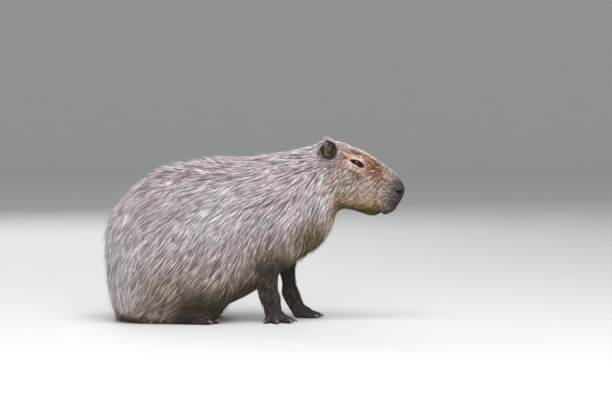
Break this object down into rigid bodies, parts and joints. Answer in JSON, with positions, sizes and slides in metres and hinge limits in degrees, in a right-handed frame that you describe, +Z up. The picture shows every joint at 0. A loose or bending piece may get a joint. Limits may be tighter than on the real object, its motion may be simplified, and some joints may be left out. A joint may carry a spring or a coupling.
{
  "type": "seated capybara model",
  "caption": "Still life-size model of a capybara sitting upright on its haunches, with fore feet planted in front and the head held level.",
  "frame": {"origin": "on the floor, under the middle of the bounding box", "axes": "+X towards the nose, +Y towards the animal's left side, +Z up; units metres"},
  "size_m": [0.8987, 0.3944, 0.5535],
  "materials": {
    "back_fur": "coarse sparse hair, grey-beige with pale tips",
    "rump_fur": "coarse hanging hair, tan",
    "flank_fur": "coarse hair, tan",
    "head_fur": "short hair, reddish tan",
    "muzzle_skin": "short dark grey hair and bare dark skin",
    "leg_fur": "short dark brown hair",
    "foot_skin": "dark grey skin with thin short hair",
    "ear_skin": "thin dark brown skin",
    "eye": "glossy near-black",
    "claw": "worn dark horn"
  },
  "bodies": {
    "root": {"claw_fore_left_inner": "claw", "claw_fore_left_outer": "claw", "claw_fore_left_second": "claw", "claw_fore_left_third": "claw", "claw_fore_right_inner": "claw", "claw_fore_right_outer": "claw", "claw_fore_right_second": "claw", "claw_fore_right_third": "claw", "claw_hind_left_inner": "claw", "claw_hind_left_middle": "claw", "claw_hind_left_outer": "claw", "claw_hind_right_inner": "claw", "claw_hind_right_middle": "claw", "claw_hind_right_outer": "claw", "ear_left": "ear_skin", "ear_right": "ear_skin", "eye_left": "eye", "eye_right": "eye", "forearm_left": "leg_fur", "forearm_right": "leg_fur", "forefoot_left": "foot_skin", "forefoot_right": "foot_skin", "head": "head_fur", "hind_foot_left": "foot_skin", "hind_foot_right": "foot_skin", "muzzle": "muzzle_skin", "neck": "back_fur", "tail": "rump_fur", "thigh_left": "flank_fur", "thigh_right": "flank_fur", "trunk": "back_fur", "upper_foreleg_left": "flank_fur", "upper_foreleg_right": "flank_fur"}
  },
  "joints": []
}
